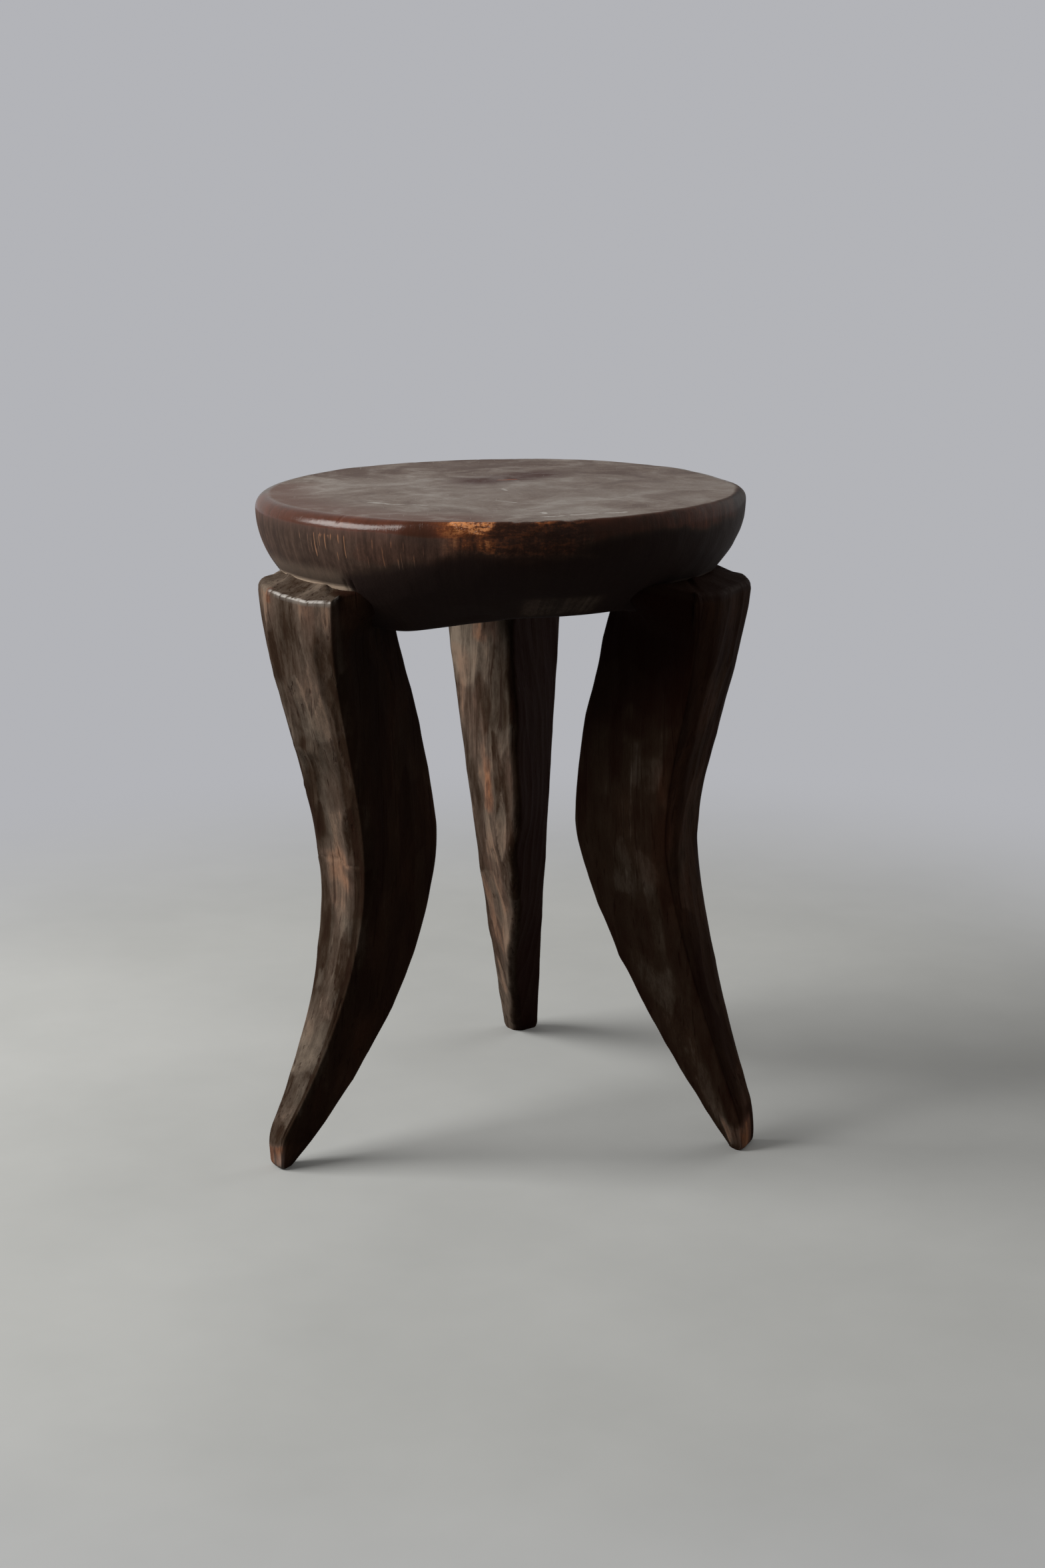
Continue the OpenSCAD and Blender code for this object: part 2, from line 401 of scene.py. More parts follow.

# How light each face of a leg is painted: outer, -sideways, +sideways, inner ridge, head;
# bareness of the wood together with painted light and shade, lit faces lighter, shaded faces darker.
LEG_TONES = {
    "leg_front_left": (0.53, 0.44, 0.22, 0.20, 0.72),
    "leg_front_right": (0.28, 0.21, 0.44, 0.16, 0.08),
    "leg_rear": (0.46, 0.02, 0.66, 0.28, 0.35),
}


def section_corners(leg, z):
    """The eight corners of a leg's level sections: outwards and sideways, per height."""
    w = leg.outer_w(z)
    corner = leg.corner_r(z)
    inner = leg.inner_r(z)
    face = corner + w * CROWN
    edge = np.minimum(leg.ridge_w, w * RIDGE_SHARE)
    size = np.minimum(1.0, w / FULL_BEVEL_W)
    spine = np.stack([0.0 * z, 0.0 * z, z], axis=1)
    shift = path(z, leg.ridge_path) + leg.ridge_wave * layered(spine, RIDGE_WAVE_L, leg.seed + 3, 2)
    points = []
    for sign, bevels in ((-1.0, leg.bevel_low), (1.0, leg.bevel_high)):
        bevel = np.clip(through(z, *bevels), LEAST_BEVEL, None) * size
        corner_at = np.stack([corner, sign * w / 2], axis=1)
        inner_at = np.stack([inner, shift + sign * edge / 2], axis=1)
        face_at = np.stack([face, sign * w * FLAT / 2], axis=1)
        to_inner = inner_at - corner_at
        to_inner /= np.linalg.norm(to_inner, axis=1, keepdims=True)
        to_face = face_at - corner_at
        to_face /= np.linalg.norm(to_face, axis=1, keepdims=True)
        side = corner_at + to_inner * bevel[:, None]
        crown = corner_at + to_face * (bevel * CROWN_BEVEL)[:, None]
        points.append((inner_at, side, crown, face_at))
    a, b = points
    return np.stack([a[0], a[1], a[2], a[3], b[3], b[2], b[1], b[0]], axis=1)


def flared(flat, across, on_side, z):
    """The sides of a leg's head swell sideways and in towards the seat's rim."""
    swell = FLARE * ease((z - FLARE_FROM) / (FLARE_TO - FLARE_FROM)) ** FLARE_BEND
    shape = np.sin(math.pi * np.clip(across, 0.0, 1.0) ** FLARE_LEAN) ** FLARE_SPREAD * (on_side != 0)
    push = swell[:, None] * shape[None, :]
    flat = flat.copy()
    flat[..., 0] -= FLARE_IN * push
    flat[..., 1] += FLARE_OUT * push * on_side[None, :]
    return flat


def rounded_sections(corners):
    """Points round each section: an arc at every corner and points along every edge."""
    count = corners.shape[1]
    ahead = np.roll(corners, -1, axis=1) - corners
    length = np.linalg.norm(ahead, axis=2)
    ahead = ahead / length[..., None]
    room = MOST_TRIM * np.minimum(length, np.roll(length, 1, axis=1))
    trim = np.minimum(np.asarray(CORNER_TRIMS)[None, :], room)
    columns = []
    for i in range(count):
        back = (i - 1) % count
        start = corners[:, i] - ahead[:, back] * trim[:, i, None]
        end = corners[:, i] + ahead[:, i] * trim[:, i, None]
        for t in np.arange(ARC_POINTS) / ARC_POINTS:
            columns.append((1 - t) ** 2 * start + 2 * t * (1 - t) * corners[:, i] + t * t * end)
        after = (i + 1) % count
        stop = corners[:, after] - ahead[:, i] * trim[:, after, None]
        for t in np.arange(EDGE_POINTS[i]) / EDGE_POINTS[i]:
            columns.append(mix(end, stop, t))
    return np.stack(columns, axis=1)


def column_masks():
    """For each column round a section: how far it is on the outer face, on the side
    towards -sideways and +sideways, how near a worn edge, and its place across the
    face it is on: -1 to 1 on the outer face, 0 at the inner ridge to 1 on a side."""
    on_outer = (0, 0.5, 1, 1, 1, 0.5, 0, 0)
    on_minus = (1, 0.5, 0, 0, 0, 0, 0, 0.5)
    on_plus = (0, 0, 0, 0, 0, 0.5, 1, 0.5)
    near = (0, 1, 0, 0, 0, 1, 0, 0.7)
    corner_near = (0.8, 0.8, 1, 0.35, 0.35, 1, 0.8, 0.8)
    from_to = ((0, 1), (1, 1), (-1, -FLAT), (-FLAT, FLAT), (FLAT, 1), (1, 1), (1, 0), (0, 0))
    count = len(EDGE_POINTS)
    columns = []
    for i in range(count):
        back = (i - 1) % count
        after = (i + 1) % count
        for t in np.arange(ARC_POINTS) / ARC_POINTS:
            masks = [mix(m[back], m[i], t) for m in (on_outer, on_minus, on_plus)]
            columns.append((*masks, corner_near[i], from_to[i][0]))
        for t in np.arange(EDGE_POINTS[i]) / EDGE_POINTS[i]:
            fall = corner_near[i] * (1 - t) ** 8 + corner_near[after] * t ** 8
            across = mix(*from_to[i], t)
            columns.append((on_outer[i], on_minus[i], on_plus[i], max(near[i], fall), across))
    return list(np.array(columns, float).T)


def head_top(leg, out, side):
    """Height of a leg's top face: it falls outwards, and may rise to one end."""
    rise = leg.head_tilt * ease(-side / (leg.shoulder_w / 2))
    return leg.head_h + (SHOULDER_OUT - out) * leg.head_fall + rise


def leg_rings(leg):
    """The leg's smooth skin before any tool marks, (rings, columns, 3) outwards, sideways, up."""
    toe = TOE_ROUND * (1 - np.cos(np.linspace(0, math.pi / 2, TOE_RINGS)))
    heights = np.concatenate([toe, np.arange(TOE_ROUND + RING_STEP, SHOULDER_H - 1.0, RING_STEP)])
    _, minus, plus, _, across = column_masks()
    on_side = np.where(plus >= 0.99, 1.0, 0.0) - np.where(minus >= 0.99, 1.0, 0.0)
    flat = flared(rounded_sections(section_corners(leg, heights)), across, on_side, heights)
    up = np.repeat(heights[:, None], flat.shape[1], axis=1)
    slant = step(up, SLANT_FROM, SHOULDER_H)
    up = up + slant * (head_top(leg, flat[..., 0], flat[..., 1]) - SHOULDER_H)
    fallen = 1 - np.minimum(heights, SHOULDER_H) / SHOULDER_H
    flat[..., 1] += leg.lean * fallen[:, None] ** LEAN_BEND
    rings = list(np.concatenate([flat, up[..., None]], axis=2))
    # The head: its edge rolls over, then the top face closes inwards under the seat.
    top_z = np.array([SHOULDER_H])
    rim = flared(rounded_sections(section_corners(leg, top_z)), across, on_side, top_z)[0]
    spoke = rim - HEAD_MIDDLE
    reach = np.linalg.norm(spoke, axis=1, keepdims=True)
    half = leg.shoulder_w / 2
    rounding = mix(leg.head_round, leg.end_round[0], step(-rim[:, 1], half - END_REACH, half))
    rounding = mix(rounding, leg.end_round[1], step(rim[:, 1], half - END_REACH, half))
    for turn in np.linspace(0, math.pi / 2, HEAD_ROUND_RINGS + 1)[1:]:
        inset = rounding * (1 - math.cos(turn))
        drop = rounding * (1 - math.sin(turn))
        at = HEAD_MIDDLE + spoke * (1 - inset[:, None] / reach)
        rings.append(np.column_stack([at, head_top(leg, at[:, 0], at[:, 1]) - drop]))
    for ring in rings[:-HEAD_ROUND_RINGS]:
        # The skin stops short of the head by the height of the rounding.
        fade = step(ring[:, 2], SHOULDER_H - HEAD_FADE, SHOULDER_H)
        ring[:, 2] -= fade * rounding
    for share in np.linspace(1, 0.04, HEAD_TOP_RINGS + 1)[1:]:
        at = HEAD_MIDDLE + spoke * (1 - rounding[:, None] / reach) * share
        rings.append(np.column_stack([at, head_top(leg, at[:, 0], at[:, 1])]))
    # The foot: the bearing face closes inwards at the floor.
    sole = rings[0]
    middle = sole.mean(axis=0)
    for share in np.linspace(0, 1, FOOT_RINGS + 1)[FOOT_RINGS - 1:0:-1]:
        rings.insert(0, middle + (sole - middle) * share)
    return np.stack(rings)


def seeds_on(grid, across, along, rng):
    """Points spread over a grid of rings, about across by along millimetres apart."""
    seeds = []
    z = CUTS_FROM
    while z < CUTS_TO:
        ring = grid[np.argmin(np.abs(grid[:, :, 2].mean(axis=1) - z))]
        hops = np.linalg.norm(np.roll(ring, -1, axis=0) - ring, axis=1)
        reach = np.concatenate([[0], np.cumsum(hops)])
        count = max(5, int(reach[-1] / across))
        for i in range(count):
            at = (i + rng.uniform(0.1, 0.9)) / count * reach[-1]
            column = min(np.searchsorted(reach, at), len(ring)) - 1
            seeds.append(ring[column] + [0, 0, rng.uniform(-0.45, 0.45) * along])
        z += along * rng.uniform(0.8, 1.1)
    return np.array(seeds)


def build_leg(leg):
    """One leg: its smooth skin, pushed in and out by the tool marks, with its worn places and painted
    light and shade.
    """
    rng = np.random.default_rng(leg.seed)
    grid = leg_rings(leg)
    rows, columns = grid.shape[:2]
    normals = grid_normals(grid)
    points = grid.reshape(-1, 3)
    outer, minus, plus, worn, across = [np.tile(m, rows) for m in column_masks()]
    z = points[:, 2]

    cuts, tone = tool_cuts(points, seeds_on(grid, *CUTS_APART, rng), *CUT_SIZE, rng)
    fine, _ = tool_cuts(points, seeds_on(grid, *FINE_APART, rng), *FINE_SIZE, rng)
    wave = layered(points, (48.0, 48.0, 90.0), leg.seed, 2)
    rough = layered(points, (7.0, 7.0, 24.0), leg.seed + 5, 2)
    calm = step(z, 0.5, 9.0) * step(z, 402.0, 385.0)
    head = np.zeros((rows, columns))
    head[rows - HEAD_RINGS:] = 1.0
    head = head.ravel()
    strength = leg.cut_outer * outer + leg.cut_minus * minus + leg.cut_plus * plus
    strength = np.maximum(strength, leg.cut_ridge * worn * (1 - outer))
    depth = strength * ((cuts - np.median(cuts)) + 0.3 * (fine - np.median(fine)))
    depth = depth + 0.45 * wave + 0.10 * rough
    masks = {"outer": outer, "minus": minus, "plus": plus, "head": head}
    for where, low, high, left, right, deeper in ROUGH_SPOTS.get(leg.name, ()):
        deeper = deeper * masks[where] * window(z, low, high, 8.0)
        depth = depth * (1 + deeper * window(across, left, right, 0.15))
    seam_z = SEAM_H + 2.2 * layered(points, 7.0, 131, 2) + 1.6 * layered(points, 2.6, 132, 2)
    seam = outer * step(np.abs(z - seam_z), 1.9, 0.4) * window(across, -0.60, 0.75, 0.15) * leg.seamed
    depth = depth - 0.5 * seam
    depth = depth * (1 - 0.6 * outer * step(np.abs(across), 0.80, 0.95))
    push = (depth * calm * mix(1.0, 0.35, head))[:, None] * normals.reshape(-1, 3)
    small = np.clip(leg.outer_w(np.clip(z, 0, SHOULDER_H)) / 50.0, 0.25, 1.0)
    points = points + push * small[:, None]
    points[:, 2] = np.maximum(points[:, 2], 0.0)
    points[z <= 0.0, 2] = 0.0

    ridge = step(cuts, cuts.mean(), cuts.max() * 0.8)
    edge = worn * step(layered(points, (9.0, 9.0, 30.0), leg.seed + 9), -0.35, 0.5)
    rim = np.zeros((rows, columns))
    rim[rows - HEAD_RINGS:rows - HEAD_TOP_RINGS] = np.array(RIM_WEAR_AND_HIGHLIGHT)[:, None]
    masks["rim"] = rim.ravel() * outer
    bare_and_lit, warm, dust_and_light, scratch = leg_wear(leg, points, masks, across, edge, tone)
    bare_and_lit = bare_and_lit + 0.20 * seam
    warm = np.maximum(warm, 0.4 * seam)
    skin = {
        "wear_and_light": (bare_and_lit, warm, dust_and_light, tone),
        "shape": (ridge, edge, outer, scratch),
    }
    angle = math.radians(leg.turn)
    turn = np.array([
        [math.cos(angle), math.sin(angle), 0],
        [-math.sin(angle), math.cos(angle), 0],
        [0, 0, 1],
    ])
    grid = (points @ turn).reshape(rows, columns, 3)
    first = grid[0].mean(axis=0)
    first[2] = 0.0
    return closed_mesh(leg.name + "_carved", grid, first, grid[-1].mean(axis=0), skin)


def leg_wear(leg, points, masks, across, edge, tone):
    """How light, warm, dusty and scratched each point of a leg is painted, from 0 to 1; the lightness
    carries painted light and shade, and the dusty rim line a painted highlight.
    """
    out, side, z = points.T
    along = layered(points, (15.0, 15.0, 80.0), leg.seed + 31, 3)
    patch = layered(points, (32.0, 32.0, 46.0), leg.seed + 47, 2)
    on_outer, on_minus, on_plus, on_ridge, on_head = LEG_TONES[leg.name]
    outer, minus, plus = masks["outer"], masks["minus"], masks["plus"]
    ridge = np.clip(1.0 - outer - minus - plus, 0.0, 1.0)
    face = on_outer * outer + on_minus * minus + on_plus * plus + on_ridge * ridge
    bare_and_lit = face * (1 + 0.26 * along + 0.24 * patch) + 0.9 * face * 0.25 * (tone - 0.5)
    warm = 0.12 + 0.30 * patch
    scratch = np.zeros_like(z)
    shaken_z = z + 9.0 * layered(points, 20.0, leg.seed + 61, 2)
    shaken = across + 0.14 * layered(points, 18.0, leg.seed + 71, 2)
    for where, low, high, left, right, lighter, warmer, scratched in LEG_SPOTS[leg.name]:
        spot = masks[where] * window(shaken_z, low, high, 9.0) * window(shaken, left, right, 0.14)
        bare_and_lit = bare_and_lit + lighter * spot
        warm = warm + warmer * spot
        scratch = np.maximum(scratch, scratched * spot)
    bare_and_lit = bare_and_lit + edge * leg.edge_tone * np.clip(face, 0.0, 0.6)

    # A darker strip down one edge of the outer face: painted shade where a narrow flat turns away from
    # the light.
    facet_shade = across + 0.05 * layered(points, (12.0, 12.0, 50.0), leg.seed + 91, 2)
    facet_shade = leg.seamed * outer * step(facet_shade, 0.56, 0.66) * window(z, 30.0, 350.0, 14.0)
    bare_and_lit = bare_and_lit * (1 - 0.46 * facet_shade)
    warm = warm - 0.10 * facet_shade

    # The head: painted shade on one side, a chip, and a pale rim line, part worn edge and part painted
    # highlight.
    head = masks["head"]
    shade = step(side, 20.0, 40.0) * step(out, 153.0, 145.0)
    bare_and_lit = mix(bare_and_lit, on_head * (1 + 0.20 * along) * (1 - 0.9 * shade), head)
    warm = mix(warm, 0.05, head)
    chip = leg.seamed * step(np.abs(side + 20.0), 2.8, 1.2) * window(z, 369.5, 377.0, 1.5)
    chip = chip * step(out, 152.0, 156.0)
    bare_and_lit = mix(bare_and_lit, 0.95, chip)
    warm = mix(warm, 0.9, chip)
    rim_wear_and_highlight = head * masks["rim"]
    rim_wear_and_highlight = rim_wear_and_highlight * step(layered(points, (2.4, 2.4, 2.4), leg.seed + 81, 2), -0.55, 0.15)
    rim_wear_and_highlight = rim_wear_and_highlight * window(side, -17.0, 46.0, 5.0)
    # The pale neck line shows only on the front left leg and outside its painted shade: a dusty line
    # painted as lit.
    neck = 0.3 * leg.seamed * (1 - shade) * head * step(out, 142.5, 139.0)
    tip = leg.seamed * outer * step(shaken_z, 16.0, 2.0) * step(along, -0.8, 0.4)
    dust_and_light = np.maximum(neck, np.maximum(leg.pale_rim * rim_wear_and_highlight, 0.34 * tip))
    return bare_and_lit, warm, dust_and_light, scratch


# Seat
FINE_ARC = (214.0, 242.0)   # azimuths between which the columns lie closer
FINE_STEP, WIDE_STEP = 0.35, 0.75   # degrees between columns
TOP_STEPS = 54
EDGE_STEPS = 14
SIDE_STEPS = 46
TURN_STEPS = 6
UNDER_STEPS = 22

NECK_NOTCHES = (231.1, 233.2)   # azimuths of two nicks in the neck, in degrees
RIM_CRACK = 232.0               # azimuth of a fine crack in the rim
SIDE_CUTS = 420                 # tool marks on the side and the edge
TOP_H, TOP_LEAN, TOP_R = 433.0, 3.0, 158.0   # the top's middle, and how far it leans at that radius


def top_height(x, y):
    """The worn top leans a little: high behind on the right, low in front on the left."""
    return TOP_H + TOP_LEAN * (x + y) / math.sqrt(2.0) / TOP_R


def seat_rings():
    """The seat's smooth skin, rings from the middle of the underside out and up to the
    middle of the top, and a mark for each: 0 underneath, 1 to 2 up the side, 2 to 3 over
    the edge and 3 to 4 in over the top."""
    fine = np.arange(FINE_ARC[0], FINE_ARC[1], FINE_STEP)
    azimuth = np.concatenate([fine, np.arange(FINE_ARC[1], FINE_ARC[0] + 360.0, WIDE_STEP)]) % 360.0
    a = np.radians(azimuth)
    left = arc_window(azimuth, 150, 236, 16)
    right = arc_window(azimuth, 14, 48, 20)
    front = arc_window(azimuth, 255, 338, 14)
    roll = 8.0 + 2.5 * left + 6.0 * right - 3.5 * front
    fall = 7.5 + 1.5 * left + 4.5 * right + 3.0 * front
    radius = SEAT_R - 0.1 - 0.9 * right - 0.5 * arc_window(azimuth, 60, 130, 30)
    edge_h = top_height((radius - roll) * np.cos(a), (radius - roll) * np.sin(a))
    wide_h = edge_h - fall
    swing = -7.0 * arc_window(azimuth, 195, 234, 28) + 4.5 * arc_window(azimuth, 278, 308, 24)
    low_r = UNDER_R + TURN_H + 0.0 * a
    low_h = UNDER_H + TURN_H + swing
    drop = wide_h - low_h
    rings = []
    marks = []

    def add(r, z, mark):
        rings.append(np.stack([r * np.cos(a), r * np.sin(a), z + 0.0 * a], axis=1))
        marks.append(mark)

    for t in np.linspace(0.03, 1, UNDER_STEPS):
        add((UNDER_R - TURN_H) * t + 0.0 * a, mix(UNDER_H, low_h - TURN_H, t ** 2), 0.0)
    for t in np.linspace(0, 1, TURN_STEPS)[1:-1]:
        r = bezier(UNDER_R - TURN_H, UNDER_R, low_r - TURN_H / 2, low_r, t)
        z = bezier(low_h - TURN_H, low_h - TURN_H, low_h - TURN_H / 2, low_h, t)
        add(r, z, 0.0)
    for t in np.linspace(1, 0, SIDE_STEPS):
        r = bezier(radius, radius, low_r + 0.38 * drop, low_r, t)
        z = bezier(wide_h, wide_h - 0.43 * drop, low_h + 0.25 * drop, low_h, t)
        add(r, z, mix(1.0, 2.0, 1 - t))
    for t in np.linspace(0, math.pi / 2, EDGE_STEPS)[1:]:
        r = radius - roll + roll * math.cos(t)
        add(r, edge_h - fall + fall * math.sin(t), 2 + t / (math.pi / 2))
    for t in np.linspace(1, 0.01, TOP_STEPS)[1:]:
        r = (radius - roll) * t
        add(r, top_height(r * np.cos(a), r * np.sin(a)), 3.0 + (1 - t))
    return np.stack(rings), np.array(marks)


def build_seat():
    """The seat: its smooth skin with waves, tool marks, chips and nicks, its worn places and its painted
    light and shade.
    """
    rng = np.random.default_rng(71)
    grid, marks = seat_rings()
    rows, columns = grid.shape[:2]
    normals = grid_normals(grid)
    points = grid.reshape(-1, 3)
    mark = np.repeat(marks, columns)
    azimuth = np.degrees(np.arctan2(points[:, 1], points[:, 0])) % 360.0
    z = points[:, 2]
    flat = step(mark, 2.6, 3.0)
    side = 1.0 - flat

    seeds = points[rng.choice(np.flatnonzero((mark > 0.5) & (mark < 2.6)), SIDE_CUTS, replace=False)]
    cuts, tone = tool_cuts(points, seeds, 13.0, 12.0, rng, soft=0.08, lift=0.1)
    wave = layered(points, 46.0, 5, 2)
    ripple = layered(points, 15.0, 8, 2)
    on_side = window(mark, 0.6, 2.4, 0.4)
    middle = np.median(cuts[(mark > 1.0) & (mark < 2.2)])
    smooth_rim = 1.0 - 0.85 * arc_window(azimuth, 160, 240, 10) * window(mark, 1.7, 3.0, 0.3)
    uneven = on_side * 0.5 * np.clip(cuts - middle, -0.5, 0.8) + side * (0.35 * wave + 0.10 * ripple)
    depth = uneven * smooth_rim
    depth = depth + flat * (0.35 * wave - 0.3 + 0.08 * ripple)
    rim = window(mark, 2.3, 2.95, 0.3)
    chipped = 0.20 * (1 - arc_window(azimuth, 150, 252, 8)) + 0.55 * arc_window(azimuth, 259, 288, 5)
    depth = depth - rim * chipped * step(layered(points, 5.0, 14), 0.15, 0.9)
    for at in NECK_NOTCHES:
        depth = depth - 0.9 * step(np.abs(turned(azimuth, at)), 0.45, 0.1) * window(z, 384.0, 389.0, 1.5)
    split = step(np.abs(turned(azimuth, RIM_CRACK + 0.12 * (z - 427.0))), 0.4, 0.1)
    depth = depth - 0.30 * split * window(z, 425.0, 430.0, 1.0) * side
    points = points + depth[:, None] * normals.reshape(-1, 3)

    bare_and_lit, warm, dust_and_light, rubbed, gloss, scratch = seat_wear(points, azimuth, z, mark)
    skin = {
        "wear_and_light": (bare_and_lit, warm, dust_and_light, rubbed),
        "shape": (flat, gloss, tone, scratch),
    }
    grid = points.reshape(rows, columns, 3)
    return closed_mesh("seat_carved", grid, grid[0].mean(axis=0), grid[-1].mean(axis=0), skin)


# Places on the seat, worn ones and a painted sheen on the hub (HUB_SHINE): first and last
# azimuth and how softly they end, then the same for the height.
RIGHT_EDGE = (293, 335, 7, 422.0, 434.0, 6.0)
COPPER_SPOT = (264, 269, 2, 425.0, 436.0, 3.0)
EMBER_LINE = (267, 281, 4, 431.0, 436.0, 2.0)
EMBER_SPOT = (268, 272, 3, 412.0, 418.0, 4.0)
GLOW = (262, 286, 8, 414.0, 436.0, 9.0)
WARM_FRONT = (242, 282, 8, 406.0, 436.0, 8.0)
HUB_SHINE = (279, 297, 5, 369.0, 378.0, 4.0)
SCRATCHES = (225, 234, 2, 404.0, 417.0, 3.0)
FAINT_SCRATCHES = (218, 253, 3, 402.0, 416.0, 4.0)


def worn_at(azimuth, z, place):
    return arc_window(azimuth, *place[:3]) * window(z, *place[3:])


def seat_wear(points, azimuth, z, mark):
    """How light, warm, dusty, rubbed, glossy and scratched each point of the seat is painted; the
    lightness and the dusty neck line carry painted light and shade as well.
    """
    flat = step(mark, 2.7, 3.0)
    side = 1.0 - flat
    blotch = layered(points, 40.0, 3, 3)
    # The side is painted brown where the light falls on it and near-black where it lies in shade: in
    # front on the right, and below a line that rises from the left towards the front, under the
    # overhang. This is painted light and shade.
    lowest = 384.0 + 0.62 * np.clip(azimuth - 226.0, 0.0, 45.0) * arc_window(azimuth, 225, 300, 10)
    left = (1 - arc_window(azimuth, 272, 345, 14)) * step(z, lowest, lowest + 9.0)
    shaken = azimuth + 5.0 * layered(points, 16.0, 91, 3)
    level = z + 3.0 * layered(points, 14.0, 92, 3)
    bare_and_lit = mix(0.04, 0.395, left) * side * (1 + 0.22 * blotch)
    back = step(points[:, 1], 10.0, 120.0)
    bare_and_lit = bare_and_lit + flat * (0.50 - 0.22 * back + 0.10 * blotch)
    band = window(mark, 2.15, 2.85, 0.25)
    right_edge = worn_at(shaken, level, RIGHT_EDGE) * side
    hottest = arc_window(shaken, 311, 322, 8)
    copper = worn_at(shaken, level, COPPER_SPOT) * side
    ember = np.maximum(worn_at(shaken, level, EMBER_LINE), worn_at(shaken, level, EMBER_SPOT)) * side
    copper = np.maximum(copper, 0.50 * ember)
    glow = worn_at(shaken, level, GLOW) * side
    # The lit part of the side is also painted warmer: painted light.
    warm = 0.22 + 0.18 * left * side + 0.10 * blotch + 0.75 * band * arc_window(azimuth, 190, 345, 12)
    warm = warm * side + flat * arc_window(azimuth, 175, 262, 14) * step(mark, 3.30, 3.02)
    warm = np.maximum(warm, 0.95 * np.maximum(right_edge, np.maximum(glow, copper)))
    warm = np.maximum(warm, 0.60 * worn_at(shaken, level, WARM_FRONT) * side)
    bare_and_lit = bare_and_lit + 0.10 * band * arc_window(azimuth, 190, 245, 12)
    bare_and_lit = bare_and_lit + right_edge * mix(0.30, 0.50, hottest) + 0.18 * glow * (1 - copper) + 0.34 * copper
    # HUB_SHINE is a painted sheen streak on the hub.
    bare_and_lit = bare_and_lit + 0.36 * worn_at(azimuth, z, HUB_SHINE) + 0.03 * step(z, 385.0, 370.0)
    rubbed = np.maximum(copper, 0.35 * glow)
    near_leg = np.zeros_like(z)
    for leg in LEGS:
        near_leg = np.maximum(near_leg, arc_window(azimuth, leg.turn - 15, leg.turn + 15, 4))
    # The pale dusty line in the neck is painted brighter on the left, where the light falls on it.
    lit_neck = mix(0.10, 1.0, arc_window(azimuth, 190, 231, 5))
    line = 0.95 * window(z, 379.5, 384.2, 1.6) + 0.10 * window(z, 380.0, 391.0, 8.0)
    dust_and_light = near_leg * lit_neck * line
    dull_right = 0.75 * arc_window(azimuth, 305, 359, 10)
    gloss = band * (1 - 0.5 * copper) * (1 - dull_right)
    gloss = np.maximum(flat * (0.45 - 0.12 * back + 0.06 * blotch), gloss)
    scratch = np.maximum(worn_at(azimuth, z, SCRATCHES), 0.5 * worn_at(azimuth, z, FAINT_SCRATCHES))
    return bare_and_lit, warm, dust_and_light, rubbed, gloss, scratch


# Materials
# NEAR_BLACK is the dark end of the ramps and the colour of pores and cracks; faces set near it are
# painted shade.
NEAR_BLACK = (0.0175, 0.0056, 0.0034)
UMBER = (0.036, 0.022, 0.014)
GREY_BROWN = (0.100, 0.075, 0.054)
TAN = (0.215, 0.162, 0.112)
ASH_BROWN = (0.101, 0.0775, 0.0595)
ASH_TAN = (0.218, 0.170, 0.130)
OXBLOOD = (0.118, 0.038, 0.022)
RUST = (0.058, 0.021, 0.011)
COPPER = (0.36, 0.125, 0.045)
DEEP_COPPER = (0.26, 0.075, 0.022)
BRIGHT_COPPER = (0.86, 0.34, 0.12)
PINK_CHIP = (0.76, 0.44, 0.31)
DUST = (0.80, 0.62, 0.47)
PALE_EDGE = (0.50, 0.47, 0.44)
TOP_WARM = (0.140, 0.070, 0.052)
TOP_DARK = (0.108, 0.069, 0.055)
TOP_BROWN = (0.190, 0.145, 0.120)
TOP_GREY = (0.290, 0.250, 0.222)
TOP_SPOT = (0.060, 0.020, 0.013)
TOP_MARK = (0.46, 0.43, 0.40)

POLISHED = 0.18   # roughness where the seat is most polished
MATT = 0.80       # and where it is least
WOBBLE = 0.012    # how far noise bends a stroke, in metres, side to side

# Strokes on the top: start, end and half-width, in metres from the seat's axis.
TOP_SCRATCHES = (
    ((-0.081, -0.065, 0.0), (-0.063, -0.076, 0.0), 0.0026),
    ((-0.063, -0.076, 0.0), (-0.046, -0.081, 0.0), 0.0016),
    ((0.001, -0.009, 0.0), (0.003, -0.018, 0.0), 0.0016),
    ((0.026, -0.137, 0.0), (0.076, -0.122, 0.0), 0.0022),
    ((-0.002, -0.066, 0.0), (0.012, -0.075, 0.0), 0.0018),
    ((0.026, -0.120, 0.0), (0.028, -0.126, 0.0), 0.0014),
)
DARK_PLACE = ((-0.012, 0.034, 0.0), (0.024, 0.062, 0.0), 0.030)
WARM_LINE = ((-0.002, 0.037, 0.0), (0.010, 0.038, 0.0), 0.0016)


